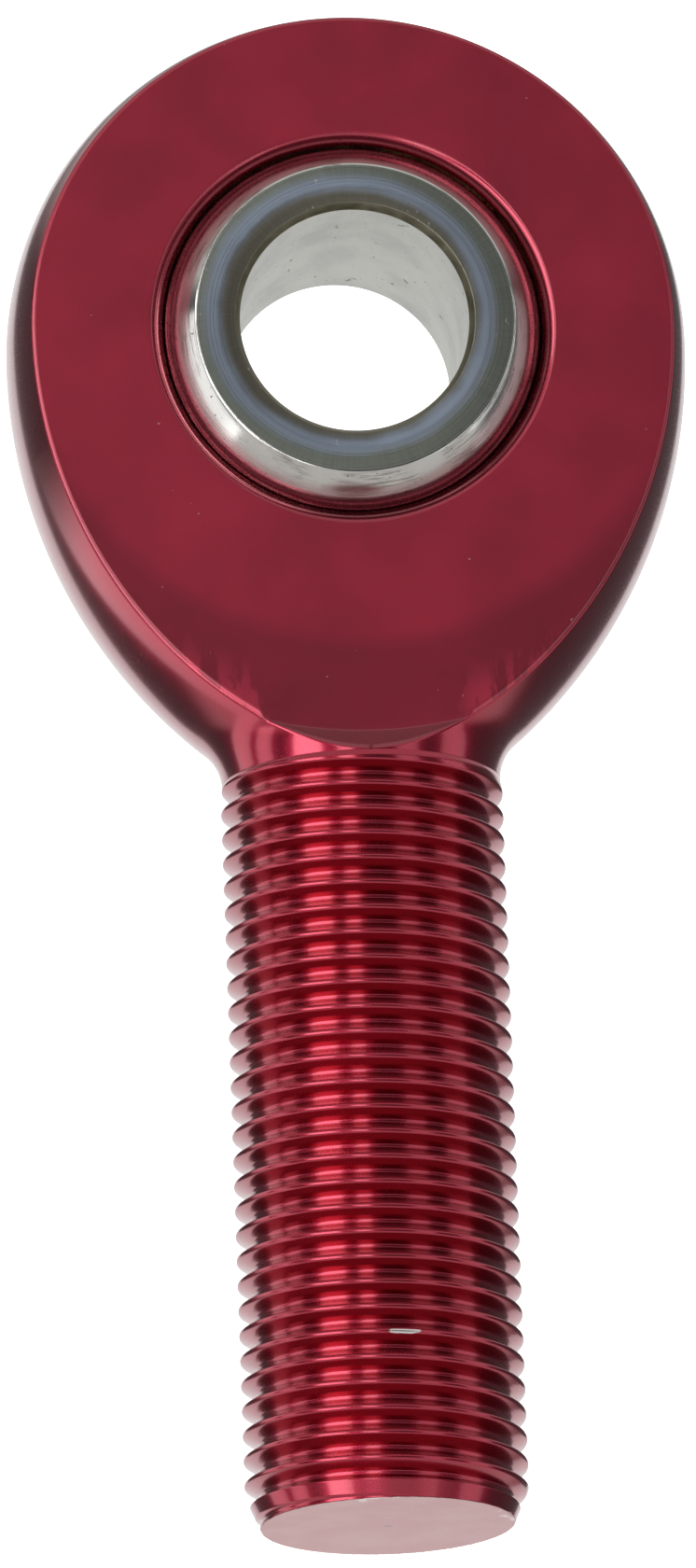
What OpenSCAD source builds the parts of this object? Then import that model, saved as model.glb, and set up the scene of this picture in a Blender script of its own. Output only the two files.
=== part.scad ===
// Male rod end bearing: a one-piece turned body with a threaded shank, holding a
// bored ball between two race inserts that the lips of the eye close in.
//
// Origin at the centre of the ball. +Z is the axis of the ball's bore, and the
// shank runs along -Y. All sizes are in millimetres.

/* [Ball] */
// Spherical diameter of the ball
ball_d = 23.8; // [22:0.1:30]
// Width of the ball across its two flat faces
ball_w = 15.88; // [13:0.01:19]
// Bore through the ball
bore_d = 12.7; // [10:0.1:15.3]
// Depth along the bore of the chamfer at each mouth
bore_chamfer_l = 0.5; // [0.2:0.05:0.8]
// How much wider in radius that chamfer makes the mouth
bore_chamfer_r = 0.3; // [0.1:0.05:0.6]

/* [Race inserts] */
// Wall of the race inserts at the ball's equator
race_wall = 1.6; // [1:0.1:2.4]
// Gap between the two inserts, where grease can lie
race_split = 0.2; // [0.1:0.05:0.6]
// Chamfer on the outer corner of each insert
race_chamfer = 0.4; // [0.2:0.05:0.8]

/* [Eye] */
// Diameter of the eye
eye_d = 37.8; // [36:0.1:46]
// Width across the two flats of the eye
eye_w = 12.7; // [10.5:0.1:15.3]
// Thickness of the lips that close over the inserts
lip_t = 1.45; // [1:0.05:2]
// Chamfer around the opening in each flat
lip_chamfer = 0.6; // [0.3:0.05:0.9]

/* [Neck] */
// Radius of the long curve from the widest part of the eye down to the neck
cheek_r = 29.4; // [25:0.1:40]
// Radius of the hollow where the eye runs into the neck
neck_fillet = 3.5; // [2:0.1:6]
// How far the neck lies below the thread's crests, in radius
neck_under = 0.15; // [0.05:0.05:0.5]
// Plain length of neck before the first thread
neck_land = 0.6; // [0.3:0.1:2]
// How far short of the neck the facing cut of each flat stops
ramp_back = 1.5; // [1:0.1:2.5]
// Slope of the ramp that the facing cut leaves there, in degrees
ramp_slope = 45; // [35:1:60]

/* [Shank] */
// Centre of the ball to the end of the shank
reach = 66.68; // [55:0.1:90]
// Diameter over the thread's crests
thread_d = 15.7; // [13:0.1:18.9]
// Pitch of the thread
thread_pitch = 1.411; // [1:0.001:2]
// Length of the chamfer at the end of the thread
end_chamfer = 1.9; // [1:0.1:3]

/* [Fits] */
// Radial clearance of the ball in its race
ball_clear = 0.03; // [0.01:0.01:0.08]
// Clearance around the inserts in the body, in radius and at each end
race_clear = 0.03; // [0.01:0.01:0.08]
// Radial clearance between the ball and the lips
lip_clear = 0.12; // [0.1:0.01:0.4]

/* [Hidden] */
$fn = 96;
slop = 1;                                // how far a cutter passes the face that it cuts
arc_step = 3;                            // the largest turn between two points of an arc

ball_r = ball_d / 2;
bore_r = bore_d / 2;
seat_r = ball_r + ball_clear;            // spherical seat in the inserts
race_r = ball_r + race_wall;             // outside of the inserts
pocket_r = race_r + race_clear;          // what the body is bored to for them
pocket_h = eye_w / 2 - lip_t;            // half of that pocket's depth
race_h = pocket_h - race_clear;          // centre plane to the outer face of an insert

eye_r = eye_d / 2;
mouth_h = eye_w / 2 - lip_chamfer;       // centre plane to the edge of the lip
mouth_r = sqrt(pow(ball_r + lip_clear, 2) - pow(mouth_h, 2));

thread_r = thread_d / 2;
thread_v = thread_pitch * cos(30);       // height of the sharp V that the thread is cut from
thread_depth = thread_v * 17 / 24;
root_r = thread_r - thread_depth;
crest_w = thread_pitch / 8;
flank_w = thread_depth * tan(30);

neck_r = thread_r - neck_under;
cheek_x = eye_r - cheek_r;               // the cheek curve's centre, past the shank's axis
hollow_x = neck_r + neck_fillet;         // centre of the hollow, off the axis
hollow_y = sqrt(pow(cheek_r + neck_fillet, 2) - pow(hollow_x - cheek_x, 2));
blend_angle = asin(hollow_y / (cheek_r + neck_fillet));
face_r = hollow_y - ramp_back;           // radius of the facing cut about the bore's axis

thread_start = hollow_y + neck_land;
thread_l = reach - thread_start;
ridges = floor(thread_l / thread_pitch);

// Points along an arc, without its first one.
function arc(centre, r, from, to) =
    let (steps = ceil(abs(to - from) / arc_step))
    [
        for (i = [1 : steps])
            let (turn = from + (to - from) * i / steps)
            centre + r * [cos(turn), sin(turn)]
    ];

// One ring of the thread, from the groove above it to the groove below it.
function ridge(top) = [
    [root_r, top],
    [thread_r, top - flank_w],
    [thread_r, top - flank_w - crest_w],
    [root_r, top - 2 * flank_w - crest_w]
];

// Half outline of the whole body, with the shank's axis upright. The thread is a ring
// for each turn.
module outline() {
    difference() {
        polygon([
            [0, eye_r],
            each arc([0, 0], eye_r, 90, 0),
            each arc([cheek_x, 0], cheek_r, 0, -blend_angle),
            each arc([hollow_x, -hollow_y], neck_fillet, 180 - blend_angle, 180),
            [neck_r, -thread_start],
            for (i = [0 : ridges - 1])
                each ridge(-thread_start - i * thread_pitch),
            [root_r, -reach],
            [0, -reach]
        ]);
        polygon([
            [thread_r, end_chamfer - reach],
            [thread_r + slop, end_chamfer - reach],
            [thread_r + slop, -reach],
            [root_r, -reach]
        ]);
    }
}

// What facing one side of the eye takes away. Its edge ramps up to the proud neck.
module facing_cut() {
    cut_h = eye_r - eye_w / 2 + slop;
    translate([0, 0, eye_w / 2])
        cylinder(h = cut_h, r1 = face_r, r2 = face_r + cut_h / tan(ramp_slope));
}

// The pocket for the inserts and ball, with the lips' spherical insides and chamfers. A
// chamfer's cutter starts inside the sphere and crosses it at the lip's edge.
module race_pocket() {
    cylinder(h = 2 * pocket_h, r = pocket_r, center = true);
    sphere(r = ball_r + lip_clear);
    for (side = [0, 1])
        mirror([0, 0, side])
            translate([0, 0, mouth_h - slop])
                cylinder(
                    h = lip_chamfer + 2 * slop,
                    r1 = mouth_r - slop,
                    r2 = mouth_r + lip_chamfer + slop
                );
}

// Turned from bar, faced, bored, threaded, and anodised before the lips are closed.
module rod_end_body() {
    color([0.50, 0.13, 0.20])
        difference() {
            rotate([-90, 0, 0])
                rotate_extrude() outline();
            facing_cut();
            mirror([0, 0, 1]) facing_cut();
            race_pocket();
        }
}

// One half of the race: a ring with half of the ball's seat in it.
module race_insert() {
    color([0.72, 0.55, 0.32])
        rotate_extrude()
            difference() {
                polygon([
                    [0, race_split / 2],
                    [race_r, race_split / 2],
                    [race_r, race_h - race_chamfer],
                    [race_r - race_chamfer, race_h],
                    [0, race_h]
                ]);
                circle(r = seat_r);
            }
}

module race_insert_front() {
    race_insert();
}

module race_insert_rear() {
    mirror([0, 0, 1]) race_insert();
}

// Hardened and polished ball, ground flat on both sides and bored through.
module ball() {
    color([0.72, 0.73, 0.74])
        difference() {
            intersection() {
                sphere(r = ball_r);
                cube([2 * ball_d, 2 * ball_d, ball_w], center = true);
            }
            cylinder(h = ball_w + 2 * slop, r = bore_r, center = true);
            for (side = [0, 1])
                mirror([0, 0, side])
                    translate([0, 0, ball_w / 2 - bore_chamfer_l])
                        cylinder(
                            h = 2 * bore_chamfer_l,
                            r1 = bore_r,
                            r2 = bore_r + 2 * bore_chamfer_r
                        );
        }
}

rod_end_body();
race_insert_front();
race_insert_rear();
ball();
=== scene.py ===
"""Rod end bearing: a bored steel ball, held by two bronze race halves in the eye of a red anodised body
whose threaded shank screws into a rod or a tube."""
from math import acos, asin, ceil, cos, degrees, hypot, pi, radians, sin, sqrt, tan

import bmesh
import bpy
from mathutils import Matrix, Vector


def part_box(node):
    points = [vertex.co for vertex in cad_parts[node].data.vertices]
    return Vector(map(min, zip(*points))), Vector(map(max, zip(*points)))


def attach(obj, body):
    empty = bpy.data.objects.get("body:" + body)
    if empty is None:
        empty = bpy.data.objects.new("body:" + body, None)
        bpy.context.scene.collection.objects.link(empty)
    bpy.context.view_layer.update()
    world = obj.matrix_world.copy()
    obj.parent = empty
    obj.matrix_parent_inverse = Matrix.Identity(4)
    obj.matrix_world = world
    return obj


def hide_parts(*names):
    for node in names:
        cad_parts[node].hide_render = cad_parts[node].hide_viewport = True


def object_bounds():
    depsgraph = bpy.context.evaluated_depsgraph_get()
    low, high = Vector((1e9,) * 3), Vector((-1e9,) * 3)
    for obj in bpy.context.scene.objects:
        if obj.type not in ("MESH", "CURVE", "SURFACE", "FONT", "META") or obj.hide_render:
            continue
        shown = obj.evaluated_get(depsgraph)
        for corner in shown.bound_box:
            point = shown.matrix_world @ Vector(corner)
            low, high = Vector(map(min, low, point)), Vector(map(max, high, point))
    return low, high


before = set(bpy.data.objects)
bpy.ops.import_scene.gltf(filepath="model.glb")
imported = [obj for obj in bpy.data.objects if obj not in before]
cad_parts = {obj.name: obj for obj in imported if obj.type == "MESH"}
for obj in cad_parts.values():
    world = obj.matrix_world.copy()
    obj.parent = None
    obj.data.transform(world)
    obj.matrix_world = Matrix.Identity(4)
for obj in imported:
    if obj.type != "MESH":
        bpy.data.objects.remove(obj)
cad_low, cad_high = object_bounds()

# ---------------------------------------------------------------------------------------
# Ball. Chrome steel, hardened and polished, then ground flat on both sides and bored for
# the bolt. It is the inner ring of the bearing and moves in the race.
# ---------------------------------------------------------------------------------------
mm = 0.001
_, ball_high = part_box("ball")
ball_r = ball_high.x
flat_z = ball_high.z                     # centre to each ground flat
flat_rim_r = sqrt(ball_r**2 - flat_z**2)
bolt_r = 6.35 * mm                       # bored for a half inch bolt
bolt_chamfer_r = 0.3 * mm
bolt_chamfer_z = 0.5 * mm
flat_rim_rounding = 0.09 * mm
mouth_rounding = 0.03 * mm
bore_rounding = 0.04 * mm
ball_sides = 256
arc_step = 2.5                           # most that an arc turns between two points, degrees
rounding_steps = 4
weld = 0.0002 * mm                       # points of a mesh this near each other become one

# The ring that a washer has rubbed on the ball's flat, a little off centre, in millimetres.
washer_centre = (-0.28, 0.2, 0)
washer_from = (7.05, 7.75)               # radii where the ring begins and is full
washer_to = (7.85, 8.6)                  # radii where it begins to fade and is gone
flat_zones = (7.2, 7.9)                  # radii between which the flat's inner tone becomes its outer one

# Colours. A pair is the darkest and the palest of one metal.
lapped_steel = ((0.52, 0.51, 0.49), (0.72, 0.71, 0.69))
seat_wear = (0.24, 0.22, 0.20)
sphere_speck = (0.16, 0.12, 0.10)
inner_flat = ((0.17, 0.16, 0.12), (0.26, 0.25, 0.20))
outer_flat = ((0.21, 0.235, 0.20), (0.34, 0.36, 0.31))
washer_blue = ((0.38, 0.46, 0.62), (0.50, 0.59, 0.76))
bright_nick = (0.72, 0.72, 0.70)
honed_steel = ((0.50, 0.505, 0.465), (0.60, 0.60, 0.555))
honed_cloud = (0.41, 0.41, 0.385)
bore_speck = (0.20, 0.19, 0.15)
heat_stain = ((0.23, 0.20, 0.13), (0.40, 0.38, 0.30))

across_bore = (1, 1, 0)                  # scale for scaled_length, to measure from the bore's axis


def arc(r, start, end):
    """Points (radius, height) along an arc about the ball's centre, both ends included."""
    count = max(2, ceil(abs(end - start) / arc_step))
    turns = [radians(start + (end - start) * i / count) for i in range(count + 1)]
    return [(r * cos(turn), r * sin(turn)) for turn in turns]


def softened(outline):
    """Rounds off each corner of a closed outline of (radius, height, rounding, finish). The rounding
    reaches that far along both sides."""
    points = []
    for i, (r, z, rounding, finish) in enumerate(outline):
        corner = Vector((r, z))
        if not rounding:
            points.append((corner, finish))
            continue
        before = Vector(outline[i - 1][:2])
        after = Vector(outline[(i + 1) % len(outline)][:2])
        start = corner + (before - corner).normalized() * rounding
        end = corner + (after - corner).normalized() * rounding
        for k in range(rounding_steps + 1):
            t = k / rounding_steps
            points.append((start * (1 - t) ** 2 + corner * 2 * t * (1 - t) + end * t * t, finish))
    return points


def turned(outline, sides):
    """Turns a closed outline about the bore's axis. Each strip of faces takes its first point's finish."""
    shape = bmesh.new()
    points = softened(outline)
    rings = []
    for k in range(sides):
        turn = 2 * pi * k / sides
        rings.append([shape.verts.new((p.x * cos(turn), p.x * sin(turn), p.y)) for p, _ in points])
    for k in range(sides):
        here, there = rings[k], rings[(k + 1) % sides]
        for i in range(len(points)):
            j = (i + 1) % len(points)
            face = shape.faces.new((here[i], there[i], there[j], here[j]))
            face.material_index = points[i][1]
    return shape


def piece(name, shape, finishes, body, cad_node):
    """Makes a mesh piece from a bmesh. It rides on a body, in place of a CAD node."""
    bmesh.ops.remove_doubles(shape, verts=shape.verts, dist=weld)
    bmesh.ops.recalc_face_normals(shape, faces=shape.faces)
    for face in shape.faces:
        face.smooth = True
    mesh = bpy.data.meshes.new(name)
    shape.to_mesh(mesh)
    shape.free()
    made = bpy.data.objects.new(name, mesh)
    bpy.context.scene.collection.objects.link(made)
    for finish in finishes:
        mesh.materials.append(finish)
    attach(made, body)
    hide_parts(cad_node)
    return made


def flat_faces_stay_flat(made):
    """Lets the larger faces set the shading next to a rounded edge."""
    weighted = made.modifiers.new("even_shading", "WEIGHTED_NORMAL")
    weighted.keep_sharp = True


def put(tree, value, socket):
    """Feeds a socket with another node's output, or sets it to a constant."""
    if isinstance(value, bpy.types.NodeSocket):
        tree.links.new(value, socket)
    else:
        socket.default_value = value


def node(tree, kind, inputs, **settings):
    """Adds a shader node. An input is a constant, or another node's output."""
    made = tree.nodes.new("ShaderNode" + kind)
    for name, value in settings.items():
        setattr(made, name, value)
    for name, value in inputs.items():
        put(tree, value, made.inputs[name])
    return made


def new_finish(name):
    """An empty material, with its tree and the place on the piece in millimetres."""
    material = bpy.data.materials.new(name)
    material.use_nodes = True
    tree = material.node_tree
    tree.nodes.clear()
    where = node(tree, "TexCoord", {}).outputs["Object"]
    place = node(tree, "VectorMath", {0: where, "Scale": 1 / mm}, operation="SCALE").outputs[0]
    return material, tree, place


def noise(tree, place, scale, detail=3.0, roughness=0.5):
    return node(
        tree, "TexNoise", {"Vector": place, "Scale": scale, "Detail": detail, "Roughness": roughness}
    ).outputs["Fac"]


def ring_noise(tree, r, scale, detail, roughness):
    """Noise that changes only with a radius, as the marks of a facing tool do."""
    return noise(tree, node(tree, "CombineXYZ", {0: r}).outputs[0], scale, detail, roughness)


def stretched(tree, place, x, y, z):
    return node(tree, "VectorMath", {0: place, 1: (x, y, z)}, operation="MULTIPLY").outputs[0]


def away_from(tree, place, centre):
    return node(tree, "VectorMath", {0: place, 1: centre}, operation="SUBTRACT").outputs[0]


def scaled_length(tree, place, scale):
    """Distance from the origin once each direction is scaled. With a 0 in the scale it is the distance
    from that axis."""
    scaled = stretched(tree, place, *scale)
    return node(tree, "VectorMath", {0: scaled}, operation="LENGTH").outputs["Value"]


def coordinate(tree, place, letter):
    return node(tree, "SeparateXYZ", {0: place}).outputs[letter]


def math(tree, operation, a, b=0.0):
    return node(tree, "Math", {0: a, 1: b}, operation=operation).outputs[0]


def times(tree, a, b):
    return math(tree, "MULTIPLY", a, b)


def span(tree, value, low, high, to_low=0.0, to_high=1.0):
    """Maps a value smoothly from one span to another, held at the ends."""
    made = node(
        tree,
        "MapRange",
        {"Value": value, "From Min": low, "From Max": high, "To Min": to_low, "To Max": to_high},
        interpolation_type="SMOOTHSTEP",
    )
    return made.outputs["Result"]


def blend(tree, share, a, b):
    """Mixes two colours, which are inputs 6 and 7 of the node. Each is three numbers or an output."""
    made = node(tree, "Mix", {0: share}, data_type="RGBA")
    for number, colour in ((6, a), (7, b)):
        put(tree, (*colour, 1) if isinstance(colour, tuple) else colour, made.inputs[number])
    return made.outputs[2]


def bump(tree, height, depth_mm, below=None):
    """Raises the surface by a height from 0 to 1, times a real depth."""
    inputs = {"Height": height, "Strength": 1.0, "Distance": depth_mm * mm}
    if below is not None:
        inputs["Normal"] = below
    return node(tree, "Bump", inputs).outputs["Normal"]


def surface(tree, inputs):
    """Ends a finish with its shader."""
    shader = node(tree, "BsdfPrincipled", inputs)
    out = tree.nodes.new("ShaderNodeOutputMaterial")
    tree.links.new(shader.outputs[0], out.inputs[0])


def metal(tree, colour, roughness, normal, extra=None):
    """Ends a metal's finish. extra holds further inputs of its shader."""
    inputs = {"Base Color": colour, "Roughness": roughness, "Normal": normal, "Metallic": 1.0}
    surface(tree, {**inputs, **(extra or {})})


def polished_ball():
    """Lapped sphere: a soft mirror with haze, streaks round it from wear in its seat, and fine specks."""
    material, tree, place = new_finish("polished_ball")
    haze = noise(tree, place, 0.35, 4)
    streaks = noise(tree, stretched(tree, place, 0.5, 0.5, 9.0), 0.9, 5, 0.65)
    worn = times(tree, span(tree, streaks, 0.46, 0.62), span(tree, haze, 0.40, 0.60))
    specks = span(tree, noise(tree, place, 5.0, 2), 0.70, 0.74)
    colour = blend(tree, streaks, *lapped_steel)
    colour = blend(tree, times(tree, worn, 0.75), colour, seat_wear)
    colour = blend(tree, specks, colour, sphere_speck)
    rough = math(tree, "ADD", span(tree, streaks, 0.3, 0.7, 0.10, 0.20), times(tree, specks, 0.3))
    metal(tree, colour, rough, bump(tree, streaks, 0.004))
    return material


def ground_flat():
    """Ground side of the ball: fine turning rings, light cross scratches and the blue-grey ring that a
    washer has rubbed."""
    material, tree, place = new_finish("ground_flat")
    flat_place = stretched(tree, place, *across_bore)
    direction = node(tree, "VectorMath", {0: flat_place}, operation="NORMALIZE").outputs[0]
    rays = noise(tree, direction, 42.0, 4, 0.7)
    rings = ring_noise(tree, scaled_length(tree, place, across_bore), 9.0, 5, 0.7)
    patches = noise(tree, place, 0.55, 3)
    true_r = scaled_length(tree, away_from(tree, place, washer_centre), across_bore)
    ragged_r = math(tree, "ADD", true_r, times(tree, patches, 0.4))
    rubbed = times(tree, span(tree, ragged_r, *washer_from), span(tree, ragged_r, *washer_to, 1.0, 0.0))
    inner = blend(tree, rays, *inner_flat)
    outer = blend(tree, rays, *outer_flat)
    colour = blend(tree, span(tree, ragged_r, *flat_zones), inner, outer)
    colour = blend(tree, times(tree, rubbed, 0.72), colour, blend(tree, patches, *washer_blue))
    nicks = span(tree, noise(tree, stretched(tree, place, 1.0, 0.35, 1.0), 3.4, 2), 0.70, 0.74)
    colour = blend(tree, times(tree, nicks, 0.6), colour, bright_nick)
    rough = span(tree, rings, 0.25, 0.75, 0.24, 0.40)
    normal = bump(tree, rings, 0.004)
    normal = bump(tree, rays, 0.002, normal)
    metal(tree, colour, rough, normal, {"Anisotropic": 0.35})
    return material


def bored_wall():
    """Honed bore: pale satin steel with small dark specks."""
    material, tree, place = new_finish("bored_wall")
    lay = noise(tree, stretched(tree, place, 1.0, 1.0, 6.0), 2.4, 4, 0.6)
    pits = span(tree, noise(tree, place, 1.5, 2), 0.71, 0.73)
    specks = math(tree, "MAXIMUM", span(tree, noise(tree, place, 4.2, 2), 0.70, 0.74), pits)
    cloud = span(tree, noise(tree, place, 0.30, 3), 0.34, 0.74, 0.0, 0.8)
    colour = blend(tree, cloud, blend(tree, lay, *honed_steel), honed_cloud)
    colour = blend(tree, specks, colour, bore_speck)
    rough = span(tree, lay, 0.3, 0.7, 0.30, 0.42)
    metal(tree, colour, rough, bump(tree, lay, 0.003))
    return material


def bolt_chamfer():
    """Chamfer at each mouth of the bore, dulled brown by heat and oil."""
    material, tree, place = new_finish("bolt_chamfer")
    stain = noise(tree, place, 1.1, 4, 0.6)
    rough = span(tree, stain, 0.3, 0.7, 0.28, 0.42)
    metal(tree, blend(tree, stain, *heat_stain), rough, bump(tree, stain, 0.002))
    return material


sphere_finish, flat_finish, bore_finish, chamfer_finish = range(4)
flat_rim_angle = degrees(acos(flat_rim_r / ball_r))
bolt_mouth_r = bolt_r + bolt_chamfer_r
bolt_wall_z = flat_z - bolt_chamfer_z
sphere_points = arc(ball_r, flat_rim_angle, -flat_rim_angle)[1:-1]
ball_outline = [
    (bolt_r, bolt_wall_z, bore_rounding, chamfer_finish),
    (bolt_mouth_r, flat_z, mouth_rounding, flat_finish),
    (flat_rim_r, flat_z, flat_rim_rounding, sphere_finish),
    *[(r, z, 0, sphere_finish) for r, z in sphere_points],
    (flat_rim_r, -flat_z, flat_rim_rounding, flat_finish),
    (bolt_mouth_r, -flat_z, mouth_rounding, chamfer_finish),
    (bolt_r, -bolt_wall_z, bore_rounding, bore_finish),
]
ball_finishes = [polished_ball(), ground_flat(), bored_wall(), bolt_chamfer()]
ball = piece("ball_bored", turned(ball_outline, ball_sides), ball_finishes, "ball", "ball")
flat_faces_stay_flat(ball)

# ---------------------------------------------------------------------------------------
# Race. Two bronze rings with the ball's spherical seat cut in them, one from each side of
# the ball. The lips of the eye close them in, so that almost nothing of them shows.
# ---------------------------------------------------------------------------------------
race_gap = 0.03 * mm                     # clearance on the ball, and in the pocket of the eye
seat_r = ball_r + race_gap
race_chamfer = 0.4 * mm
race_rounding = 0.05 * mm
split_rounding = 0.08 * mm
race_sides = 192
bronze = ((0.52, 0.33, 0.13), (0.70, 0.48, 0.22))
oily_bronze = (0.30, 0.19, 0.09)


def race_bronze():
    """Bearing bronze: turned rings, an oily brown patina and rubbed golden streaks."""
    material, tree, place = new_finish("race_bronze")
    lay = noise(tree, stretched(tree, place, 0.4, 0.4, 9.0), 1.6, 4, 0.6)
    oil = span(tree, noise(tree, place, 0.8, 3), 0.45, 0.65)
    colour = blend(tree, oil, blend(tree, lay, *bronze), oily_bronze)
    rough = span(tree, lay, 0.3, 0.7, 0.26, 0.42)
    metal(tree, colour, rough, bump(tree, lay, 0.004))
    return material


def race_outline(low_z, high_z, outer_r):
    """One insert, from its split face near the ball's equator to its outer face."""
    near, far = sorted((low_z, high_z), key=abs)
    out = 1 if far > 0 else -1
    seat_turns = [degrees(asin(abs(z) / seat_r)) for z in (far, near)]
    return [
        *[(r, z * out, 0, 0) for r, z in arc(seat_r, *seat_turns)],
        (outer_r, near, split_rounding, 0),
        (outer_r, far - race_chamfer * out, race_rounding, 0),
        (outer_r - race_chamfer, far, race_rounding, 0),
    ]


race_finish = race_bronze()
for side in ("front", "rear"):
    cad_node = "race_insert_" + side
    low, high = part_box(cad_node)
    ring = turned(race_outline(low.z, high.z, high.x), race_sides)
    insert = piece("race_half_" + side, ring, [race_finish], "race", cad_node)
    flat_faces_stay_flat(insert)

# ---------------------------------------------------------------------------------------
# Body. Eye, neck and shank are turned in one piece from aluminium bar. The eye is faced on
# both sides and bored for the race, the shank gets a left-hand thread, and it is all
# anodised red.
# ---------------------------------------------------------------------------------------
body_low, body_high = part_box("rod_end_body")
eye_r = body_high.x
reach = -body_low.y                      # bore axis to the end of the shank
face_z = 6.35 * mm                       # centre plane to each faced side
cheek_r = 29.4 * mm                      # curve from the eye's widest place towards the neck
hollow_r = 3.5 * mm                      # fillet where the cheek runs into the neck
neck_r = 7.7 * mm
cheek_x = eye_r - cheek_r
hollow_x = neck_r + hollow_r
hollow_y = sqrt((cheek_r + hollow_r) ** 2 - (hollow_x - cheek_x) ** 2)
cheek_turn = asin(hollow_y / (cheek_r + hollow_r))
ramp_back = 1.5 * mm
facing_r = hollow_y - ramp_back          # the facing cut stops here and ramps up to the neck

_, race_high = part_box("race_insert_front")
pocket_r = race_high.x + race_gap
pocket_z = race_high.z + race_gap
lip_gap = 0.12 * mm
lip_inner_r = ball_r + lip_gap           # spherical inside of the lips
lip_chamfer = 0.6 * mm
lip_mouth_z = face_z - lip_chamfer
lip_mouth_r = sqrt(lip_inner_r**2 - lip_mouth_z**2)
lip_r = lip_mouth_r + lip_chamfer        # outer edge of the lips' chamfer

pitch = 1.411 * mm
crest_r = 7.82 * mm
root_r = 6.98 * mm
crest_rounding = 0.13 * mm
root_rounding = 0.2 * mm
sharp_crest = pitch / 8                  # flat of a crest before it is rounded
flank_lean = radians(30)                 # each flank, from square to the shank's axis
shank_top = -24.62 * mm                  # the thread's surface starts below the facing ramps
crest_step = 0.35 * mm                   # length in which the neck steps up to the crests
crest_at = -26.85 * mm                   # where one crest crosses the +X side
end_chamfer = 1.9 * mm
start_angle = 100                        # where the first groove begins, degrees from +X to +Z
start_turn = 250                         # how far round it takes to reach full depth
start_ease = 2.2                         # how slowly it deepens at first
edge_rounding = 0.045 * mm
sharp_turn = radians(25)                 # an outer edge that turns by more than this is rounded

columns = 102                            # steps round the shank
first_station = 0.05 * mm                # where the outline starts, just off the tip of the eye
station_step = 0.35 * mm                 # longest step along the outline
rim_step = radians(2.5)                  # most that the faced side's rim may turn in one step
hair = 0.001 * mm                        # nearer than this is the same place
face_shares = [0, 0.02, 0.1, 0.25, 0.45, 0.65, 0.85, 0.97, 1]  # steps from the lips out to the ramp
ramp_shares = [0.35, 0.7, 1]             # steps up the ramp
half_phases = [0, 0.03, 0.07, 0.115, 0.2, 0.3, 0.39, 0.44]     # rows from a crest to the root
fine_turns = 5                           # last turns, where the end chamfer cuts in and rows are closer
fine_rows = 3                            # rows there for each one elsewhere
end_rings = [root_r, 0.6 * root_r, 0.2 * root_r]
turned_red, faced_red, lip_red, end_red = range(4)

# Colours of the anodising, of the marks in it, and of the painted shade and painted highlight on the faced
# sides.
dye = ((0.33, 0.010, 0.032), (0.50, 0.020, 0.060))
painted_shade_red = (0.20, 0.006, 0.022)
painted_highlight_red = (0.54, 0.028, 0.070)
pale_speck = (0.70, 0.42, 0.45)
chipped_edge = (0.80, 0.66, 0.66)
bare_metal = (0.86, 0.80, 0.80)
end_grey = (0.62, 0.38, 0.36)
pip_shade = (0.20, 0.10, 0.11)

# Where marks lie, in millimetres. A pair is the two places between which a mark comes in or goes out.
nick_centre = (0.75, -57.55, 7.78)       # bare nick on a crest
nick_scale = (1.0, 4.6, 0.35)
knocked_side = (0.68, 0.73, 0)           # the eye's edge has been knocked most in this direction,
knocked_from = (14.5, 16.5)              # this far out along it
lip_edge = (13.0, 14.5)                  # edges inside this radius have no chips
shade_band_radius = (17.3, 18.9)                # radius of the band of painted shade on the faced side
neck_end = (-13.0, -4.0)                 # y of the part of the faced side that is next to the neck
highlight_ring = (19.6, 22.6)              # radius of the painted highlight streaks
highlight_in = (4.6, 6.4)                  # and how far off centre they are, inside
highlight_out = (9.6, 11.6)                # and outside
across_shank = (1, 0, 1)                 # scale for scaled_length, to measure from the shank's axis


def held(value):
    """The value, held between 0 and 1."""
    return min(1, max(0, value))


def outline_point(s):
    """Radius and y of the turned outline, s along it from the tip of the eye."""
    eye_l = eye_r * pi / 2
    cheek_l = cheek_r * cheek_turn
    if s < eye_l:
        turn = s / eye_r
        return eye_r * sin(turn), eye_r * cos(turn)
    if s < eye_l + cheek_l:
        turn = (s - eye_l) / cheek_r
        return cheek_x + cheek_r * cos(turn), -cheek_r * sin(turn)
    turn = cheek_turn - (s - eye_l - cheek_l) / hollow_r
    return hollow_x - hollow_r * cos(turn), hollow_r * sin(turn) - hollow_y


def rim_height(r, y):
    """Height at which the facing cuts meet the turned outline. It is r where they miss it."""
    if r <= face_z:
        return r
    if r * r - face_z**2 + y * y <= facing_r**2:
        return face_z
    c = facing_r - face_z                # the ramp rises at 45 degrees, so height + c is its radius
    return min(r, (sqrt(2 * (r * r + y * y) - c * c) - c) / 2)


def rim_turn(r, y):
    """How far round the shank's axis that height is from the centre plane."""
    return asin(min(1, rim_height(r, y) / r))


def stations():
    """Places along the outline, close together where the faced sides begin and end."""
    s = first_station
    places = [s]
    while True:
        here = rim_turn(*outline_point(s))
        step = station_step
        while step > hair and abs(rim_turn(*outline_point(s + step)) - here) > rim_step:
            step *= 0.6
        s += step
        if outline_point(s)[1] <= shank_top:
            return places
        places.append(s)


def neck_radius(y):
    """The hollow down to the neck, and under it the slight step up to the thread's crests."""
    under = held((shank_top - y) / crest_step)
    step = (crest_r - neck_r) * under * under * (3 - 2 * under)
    if y > -hollow_y:
        return hollow_x - sqrt(hollow_r**2 - (y + hollow_y) ** 2) + step
    return neck_r + step


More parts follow.
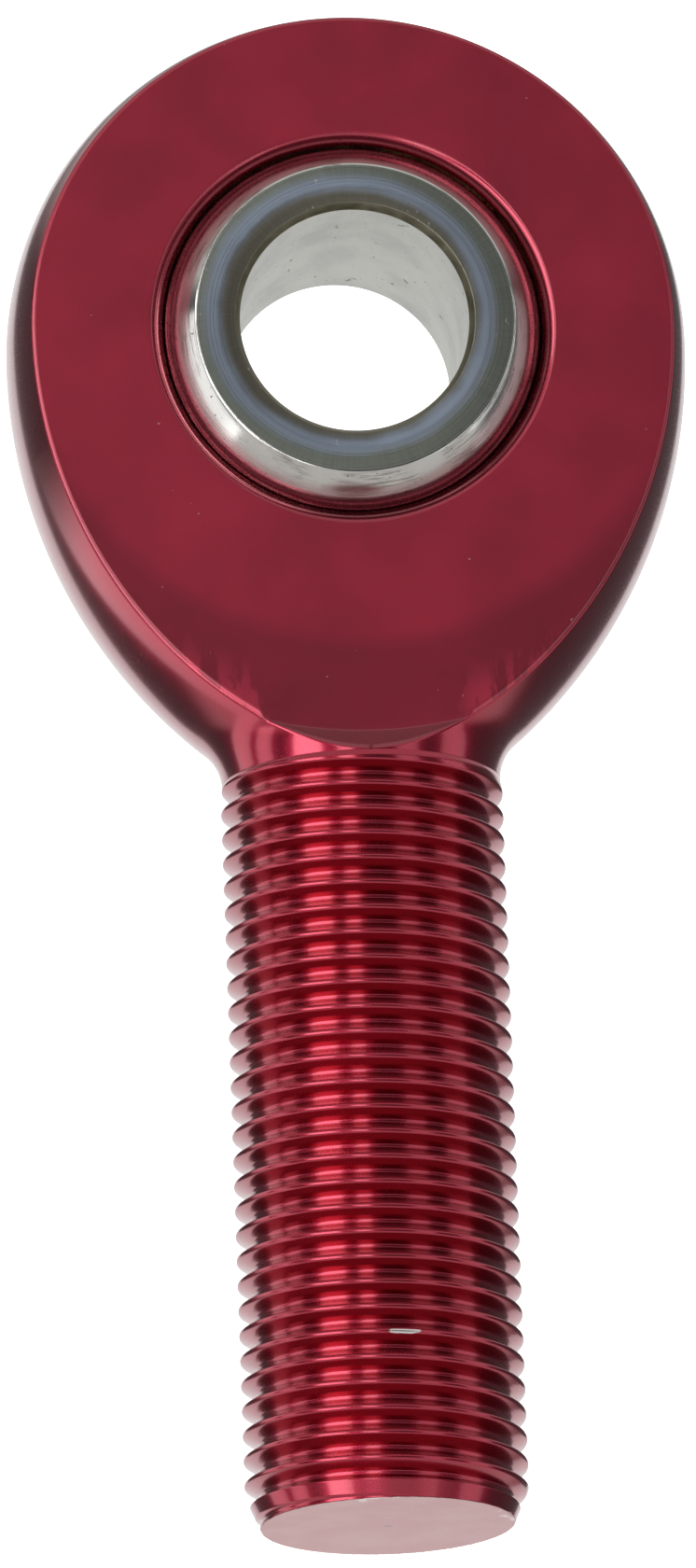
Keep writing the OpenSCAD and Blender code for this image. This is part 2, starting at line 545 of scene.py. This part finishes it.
def groove_depth(phase):
    """Depth of the thread's groove, phase 0 and 1 at its crests. Flanks meet at 60 degrees."""
    x = min(phase, 1 - phase) * pitch
    full = crest_r - root_r
    lean = tan(flank_lean)
    arc_share = cos(flank_lean)          # share of a rounding's radius that its arc spans along Y
    crest_end = sharp_crest / 2 + crest_rounding * (arc_share - lean)
    root_x = sharp_crest / 2 + full * lean
    root_start = root_x - root_rounding * (arc_share - lean)
    if x < crest_end:
        along = max(0, x - crest_end + crest_rounding * arc_share)
        return crest_rounding - sqrt(crest_rounding**2 - along**2)
    if x < root_start:
        return (x - sharp_crest / 2) / lean
    along = max(0, root_start + root_rounding * arc_share - x)
    return full - root_rounding + sqrt(root_rounding**2 - along**2)


def thread_rows():
    """Rows that follow the thread, as (turn, phase, extra, opening). A row with some extra phase stands
    between two others, and where it is opening it leaves the one before it over one turn."""
    phases = half_phases + [0.5] + [1 - phase for phase in reversed(half_phases)]
    turns = ceil((reach + shank_top) / pitch) + 3
    fine_from = turns - fine_turns
    rows = []
    for turn in range(turns):
        splits = fine_rows if turn >= fine_from else 1
        for low, high in zip(phases, phases[1:]):
            for k in range(splits):
                rows.append((turn, low, (high - low) * k / splits, turn == fine_from))
    return rows


def skin(shape, lines, finish):
    """Faces between lines of points that run side by side."""
    made = [[shape.verts.new(p) for p in line] for line in lines]
    for here, there in zip(made, made[1:]):
        for i in range(len(here) - 1):
            face = shape.faces.new((here[i], here[i + 1], there[i + 1], there[i]))
            face.material_index = finish


def circle(r, y):
    """Points round the shank's axis."""
    turns = [2 * pi * k / columns for k in range(columns)]
    return [(r * cos(turn), y, r * sin(turn)) for turn in turns]


def shank_surface(shape):
    """The threaded shank as one skin. Rows are clamped at the top circle and at the end plane."""
    top_turn = ceil((shank_top - crest_at) / pitch)
    lines = []
    for turn, low, extra, opening in thread_rows():
        line = []
        for column in range(columns + 1):
            share = column / columns
            phase = low + extra * ((1 - share) if opening else 1)
            y = crest_at + (top_turn - turn - phase + share) * pitch
            y = min(shank_top, max(-reach, y))
            angle = radians(share * 360)
            round_thread = (turn - (top_turn - 2) - share) * 360
            begun = held((round_thread + start_angle) / start_turn) ** start_ease
            below_top = held((shank_top - y) / crest_step)
            r = neck_radius(y) - groove_depth(phase) * begun * below_top
            r = min(r, root_r + (crest_r - root_r) * (y + reach) / end_chamfer)
            line.append((r * cos(angle), y, r * sin(angle)))
        lines.append(line)
    skin(shape, lines, turned_red)


def shank_end(shape):
    """The flat end inside the chamfer."""
    rings = [[shape.verts.new(p) for p in circle(r, -reach)] for r in end_rings]
    for here, there in zip(rings, rings[1:]):
        for c in range(columns):
            d = (c + 1) % columns
            face = shape.faces.new((here[c], here[d], there[d], there[c]))
            face.material_index = end_red
    shape.faces.new(rings[-1]).material_index = end_red


def turned_sides(shape, places):
    """The turned outside of the eye and the hollow, and the flat at its tip. Gives the upper rim on each
    side, +X first."""
    half = columns // 2
    rims = []
    for hand in (1, -1):
        lines = []
        for r, y in places:
            turns = [rim_turn(r, y) * (2 * k / half - 1) for k in range(half + 1)]
            lines.append([Vector((hand * r * cos(turn), y, r * sin(turn))) for turn in turns])
        skin(shape, lines, turned_red)
        rims.append([line[-1] for line in lines])
    tip = [shape.verts.new(p) for p in circle(*places[0])]
    shape.faces.new(tip).material_index = turned_red
    return rims


def pocket_outline():
    """Radius and height from the edge of one lip's chamfer, through the race's pocket, to the other's."""
    mouth_turn = asin(lip_mouth_z / lip_inner_r)
    floor_turn = asin(pocket_z / lip_inner_r)
    upper = [(lip_r, face_z), (lip_mouth_r, lip_mouth_z)]
    for k in range(1, 4):
        turn = mouth_turn + (floor_turn - mouth_turn) * k / 3
        upper.append((lip_inner_r * cos(turn), lip_inner_r * sin(turn)))
    upper.append((pocket_r, pocket_z))
    return upper + [(pocket_r, 0)] + [(r, -z) for r, z in reversed(upper)]


def faced_sides(shape, places, rims):
    """Both faced sides with their ramps, and the lips and the race's pocket between them."""
    cut = [i for i, (r, y) in enumerate(places) if rim_height(r, y) < r]
    first, last = cut[0] - 1, cut[-1] + 1
    loop = rims[0][first : last + 1] + rims[1][first + 1 : last][::-1]
    loop.append(loop[0])
    pocket = pocket_outline()
    spokes = []
    walls = []
    for rim in loop:
        out = hypot(rim.x, rim.y)
        ux, uy = rim.x / out, rim.y / out
        stop = min(out, facing_r)
        line = [(lip_r + (stop - lip_r) * share, face_z) for share in face_shares]
        line += [(stop + (out - stop) * share, face_z + (out - stop) * share) for share in ramp_shares]
        spokes.append([(r * ux, r * uy, z) for r, z in line])
        walls.append([(r * ux, r * uy, z) for r, z in pocket])
    skin(shape, spokes, faced_red)
    skin(shape, [[(x, y, -z) for x, y, z in spoke] for spoke in spokes], faced_red)
    skin(shape, walls, lip_red)


def body_shape():
    """The whole body in one bmesh."""
    shape = bmesh.new()
    places = [outline_point(s) for s in stations()]
    places.append((neck_radius(shank_top), shank_top))
    rims = turned_sides(shape, places)
    faced_sides(shape, places, rims)
    shank_surface(shape)
    shank_end(shape)
    return shape


def edge_chips(tree, place):
    """Where the rounded outer edges are bare: in patches, and most on the knocked side."""
    marked_edge = node(tree, "Attribute", {}, attribute_name="edge").outputs["Fac"]
    knocked_way = node(tree, "VectorMath", {0: place, 1: knocked_side}, operation="DOT_PRODUCT")
    knocked = math(
        tree,
        "MAXIMUM",
        span(tree, noise(tree, place, 0.21, 1), 0.60, 0.64),
        span(tree, knocked_way.outputs["Value"], *knocked_from),
    )
    chips = times(tree, span(tree, noise(tree, place, 1.3, 3, 0.6), 0.56, 0.61), knocked)
    outside_lip = span(tree, scaled_length(tree, place, across_bore), *lip_edge)
    outer_edge = times(tree, span(tree, marked_edge, 0.55, 0.95), outside_lip)
    return times(tree, outer_edge, chips)


def anodised(name, lay_of, lay_depth, roughness, coat, tone=None):
    """Red anodised aluminium: dyed metal under its clear oxide skin. lay_of gives the tool marks, coat is
    the skin's roughness and index, and tone changes the colour from place to place."""
    material, tree, place = new_finish(name)
    lay = lay_of(tree, place)
    cloud = noise(tree, place, 0.16, 3, 0.55)
    grain = noise(tree, place, 9.0, 2, 0.6)
    share = math(tree, "ADD", times(tree, cloud, 0.7), times(tree, lay, 0.3))
    colour = blend(tree, share, *dye)
    if tone:
        colour = tone(tree, place, colour)
    specks = span(tree, noise(tree, place, 2.6, 1), 0.82, 0.84)
    colour = blend(tree, times(tree, specks, 0.5), colour, pale_speck)
    colour = blend(tree, edge_chips(tree, place), colour, chipped_edge)
    mottle = math(tree, "ADD", times(tree, grain, 0.5), times(tree, cloud, 0.5))
    rough = span(tree, mottle, 0.35, 0.65, *roughness)
    normal = bump(tree, lay, lay_depth)
    normal = bump(tree, grain, lay_depth * 0.4, normal)
    coat_roughness, coat_index = coat
    metal(
        tree,
        colour,
        rough,
        normal,
        {"Coat Weight": 1.0, "Coat Roughness": coat_roughness, "Coat IOR": coat_index},
    )
    return material


def rings_round_bore(tree, place):
    return ring_noise(tree, scaled_length(tree, place, across_bore), 5.0, 4, 0.75)


def rings_round_shank(tree, place):
    return noise(tree, stretched(tree, place, 0.05, 1.0, 0.05), 5.5, 4, 0.7)


def end_lay(tree, place):
    """Facing marks on the shank's end, with the small pip that the parting tool leaves."""
    r = scaled_length(tree, place, across_shank)
    return times(tree, ring_noise(tree, r, 4.0, 4, 0.7), span(tree, r, 0.15, 0.35))


def faced_shade_and_highlight(tree, place, colour):
    """Painted shade: the outer rim of the faced side is darker towards the neck. Painted highlight: paler
    feathered streaks near the ramp end it on each side."""
    r = scaled_length(tree, place, across_bore)
    neck_side = span(tree, coordinate(tree, place, "Y"), *neck_end, 1.0, 0.0)
    # painted shade: the outer rim of the faced side is darkened towards the neck
    shade_band = times(tree, span(tree, r, *shade_band_radius), neck_side)
    colour = blend(tree, times(tree, shade_band, 0.55), colour, painted_shade_red)
    off_centre = math(tree, "ABSOLUTE", coordinate(tree, place, "X"))
    sides = times(tree, span(tree, off_centre, *highlight_in), span(tree, off_centre, *highlight_out, 1.0, 0.0))
    near_ramp = times(tree, span(tree, r, *highlight_ring), neck_side)
    # painted highlight: pale feathered streaks near the ramp, on each side
    highlight_streaks = span(tree, noise(tree, stretched(tree, place, 1.0, 0.28, 1.0), 1.1, 3, 0.6), 0.46, 0.56)
    marks = times(tree, highlight_streaks, times(tree, near_ramp, sides))
    return blend(tree, marks, colour, painted_highlight_red)


def nicked_crest(tree, place, colour):
    """A knock on one crest of the thread has laid a short flat of bare metal open."""
    size = scaled_length(tree, away_from(tree, place, nick_centre), nick_scale)
    ragged = math(tree, "ADD", size, times(tree, noise(tree, place, 2.5, 3), 0.5))
    return blend(tree, span(tree, ragged, 1.00, 1.18, 1.0, 0.0), colour, bare_metal)


def greyed_end(tree, place, colour):
    """The end of the shank is greyer in patches, and dark at its pip."""
    cloud = noise(tree, place, 0.35, 4, 0.6)
    # greyer, paler patches over the whole end
    colour = blend(tree, span(tree, cloud, 0.3, 0.7, 0.50, 0.70), colour, end_grey)
    pip = span(tree, scaled_length(tree, place, across_shank), 0.12, 0.42, 1.0, 0.0)
    return blend(tree, times(tree, pip, 0.55), colour, pip_shade)


def broken_edges(made, width):
    """Rounds the sharp outer edges of the eye and of the shank's end, and marks them for wear."""
    shape = bmesh.new()
    shape.from_mesh(made.data)
    weight = shape.edges.layers.float.new("bevel_weight_edge")
    edge_wear = shape.verts.layers.float.new("edge")
    for edge in shape.edges:
        y = (edge.verts[0].co.y + edge.verts[1].co.y) / 2
        off_thread = y > shank_top + hair or y < -reach + hair
        if not (off_thread and edge.is_manifold and edge.is_convex):
            continue
        if edge.calc_face_angle() > sharp_turn:
            edge[weight] = 1
            for corner in edge.verts:
                corner[edge_wear] = 1
    shape.to_mesh(made.data)
    shape.free()
    rounding = made.modifiers.new("broken_edges", "BEVEL")
    rounding.limit_method = "WEIGHT"
    rounding.width = width
    rounding.segments = 3
    rounding.use_clamp_overlap = False


body_finishes = [
    anodised("turned_red", rings_round_shank, 0.003, (0.20, 0.28), (0.12, 1.50), nicked_crest),
    anodised("faced_red", rings_round_bore, 0.006, (0.36, 0.46), (0.24, 1.68), faced_shade_and_highlight),
    anodised("lip_red", rings_round_bore, 0.003, (0.20, 0.30), (0.12, 1.60)),
    anodised("end_red", end_lay, 0.006, (0.42, 0.52), (0.34, 1.65), greyed_end),
]
body = piece("eye_and_shank", body_shape(), body_finishes, "housing", "rod_end_body")
broken_edges(body, edge_rounding)
flat_faces_stay_flat(body)

# ---------------------------------------------------------------------------------------
# Table and lamps. The bearing lies with its ball's lower flat on a white table that glows
# evenly. Its sides mirror a lit panel cut to its outline, a lit card to the left, long
# soft lamps on both sides, and the paler ends of the room.
# ---------------------------------------------------------------------------------------
table_half = 30
table_z = cad_low.z - 0.02 * mm
sheet_z = cad_low.z - 0.01 * mm          # the lit panel and card lie on the table
panel_margin = 4.5 * mm                  # how far the lit panel reaches past the bearing
card_right = -24.6 * mm
card_left = -60 * mm
card_top = -5 * mm
card_bottom = -90 * mm
card_fade = (-5, -17)                    # where its glow begins and is full, millimetres along Y
lamp_length = 0.86
lamp_shift = Vector((0, -0.2, 0))        # the lamps reach less far past the eye than past the shank

white = (0.98, 0.98, 0.98)
black = (0.02, 0.02, 0.02)
soft_glow = ((0.99, 0.99, 0.99), (1.0, 1.0, 1.0))
unlit = (0.10, 0.10, 0.10)
room_dim = (0.10, 0.10, 0.103)
room_pale = (0.66, 0.65, 0.63)
backdrop_white = (0.92, 0.92, 0.92)


def glow(name, paint, strength, fade=None):
    """A pale glow with a trace of mottle, over a painted sheet. A fade is two places along Y, in
    millimetres, where the glow begins and where it is full."""
    material, tree, place = new_finish(name)
    colour = blend(tree, noise(tree, place, 0.002, 2), *soft_glow)
    if fade:
        start, full = fade
        colour = blend(tree, span(tree, coordinate(tree, place, "Y"), full, start), colour, unlit)
    surface(
        tree,
        {
            "Base Color": (*paint, 1),
            "Roughness": 0.8,
            "Emission Color": colour,
            "Emission Strength": strength,
        },
    )
    return material


def level_sheet(name, corners, z, finish):
    mesh = bpy.data.meshes.new(name)
    mesh.from_pydata([(x, y, z) for x, y in corners], [], [range(len(corners))])
    mesh.materials.append(finish)
    made = bpy.data.objects.new(name, mesh)
    bpy.context.scene.collection.objects.link(made)
    return made


def panel_corners():
    """The bearing's outline seen from above, with the margin all round and a longer reach at the shank."""
    tip_turns = [radians(5 * k) for k in range(19)]
    tip_r = eye_r + panel_margin
    right = [(tip_r * sin(turn), tip_r * cos(turn)) for turn in tip_turns]
    for s in stations():
        r, y = outline_point(s)
        if -hollow_y < y < 0:
            right.append((r + panel_margin, y))
    right.append((crest_r + panel_margin, -reach - 4 * panel_margin))
    return right + [(-x, y) for x, y in right[:0:-1]]


def soft_lamp(name, towards, distance, width, radiance):
    """A rectangular lamp that faces the bearing. Its length runs along the shank."""
    lamp = bpy.data.lights.new(name, "AREA")
    lamp.shape = "RECTANGLE"
    lamp.size = width
    lamp.size_y = lamp_length
    lamp.energy = radiance * pi * width * lamp_length
    made = bpy.data.objects.new(name, lamp)
    back = Vector(towards).normalized()
    across = Vector((0, 1, 0)).cross(back).normalized()
    along = back.cross(across)
    turn = Matrix((across, along, back)).transposed()
    made.matrix_world = Matrix.Translation(back * distance + lamp_shift) @ turn.to_4x4()
    bpy.context.scene.collection.objects.link(made)


table_corners = [
    (-table_half, -table_half),
    (table_half, -table_half),
    (table_half, table_half),
    (-table_half, table_half),
]
table = level_sheet("table", table_corners, table_z, glow("table", white, 1.0))
table.visible_glossy = False
table.visible_diffuse = False
table.visible_shadow = False

panel = level_sheet("lit_panel", panel_corners(), sheet_z, glow("lit_panel", black, 0.84))
panel.visible_camera = False

card_corners = [
    (card_right, card_top),
    (card_right, card_bottom),
    (card_left, card_bottom),
    (card_left, card_top),
]
card = level_sheet("left_card", card_corners, sheet_z, glow("left_card", black, 1.15, card_fade))
card.visible_camera = False

soft_lamp("lamp_left", (-0.72, 0.10, 0.66), 0.70, 0.30, 3.2)
soft_lamp("lamp_top_left", (-0.27, 0.10, 0.95), 0.75, 0.16, 2.6)
soft_lamp("lamp_low_left", (-0.97, 0.05, 0.03), 0.80, 0.22, 1.3)
soft_lamp("lamp_right", (0.55, 0.10, 0.80), 0.75, 0.24, 0.8)
soft_lamp("lamp_low_right", (0.93, 0.10, 0.20), 0.80, 0.34, 0.8)

room = bpy.data.worlds.new("room")
room.use_nodes = True
room_tree = room.node_tree
room_tree.nodes.clear()
sight = node(room_tree, "TexCoord", {}).outputs["Generated"]
towards_ends = math(room_tree, "ABSOLUTE", coordinate(room_tree, sight, "Y"))
walls = blend(room_tree, span(room_tree, towards_ends, 0.40, 0.58), room_dim, room_pale)
seen_directly = node(room_tree, "LightPath", {}).outputs["Is Camera Ray"]
room_colour = blend(room_tree, seen_directly, walls, backdrop_white)
background = node(room_tree, "Background", {"Color": room_colour})
room_out = room_tree.nodes.new("ShaderNodeOutputWorld")
room_tree.links.new(background.outputs[0], room_out.inputs[0])
bpy.context.scene.world = room

# ---------------------------------------------------------------------------------------
# Camera. A long lens, high above the eye and a little to the left of the shank, rolled so
# that the shank stands upright in the frame. Colours are shown with no film curve.
# ---------------------------------------------------------------------------------------
azimuth = radians(16.031)
elevation = radians(74.404)
roll = radians(14.529)
camera_distance = 1.19498
aim = Vector((-0.728, -24.552, 0)) * mm

forward = Vector((sin(azimuth) * cos(elevation), cos(azimuth) * cos(elevation), -sin(elevation)))
level = Vector((cos(azimuth), -sin(azimuth), 0))
upright = level.cross(forward)
camera_x = level * cos(roll) + upright * sin(roll)
camera_y = upright * cos(roll) - level * sin(roll)
lens = bpy.data.cameras.new("camera")
lens.sensor_width = 36
lens.lens = 496.18
lens.clip_start = 0.01
lens.clip_end = 100
camera = bpy.data.objects.new("camera", lens)
camera_turn = Matrix((camera_x, camera_y, -forward)).transposed()
camera.matrix_world = Matrix.Translation(aim - forward * camera_distance) @ camera_turn.to_4x4()
bpy.context.scene.collection.objects.link(camera)
bpy.context.scene.camera = camera
bpy.context.scene.view_settings.view_transform = "Standard"
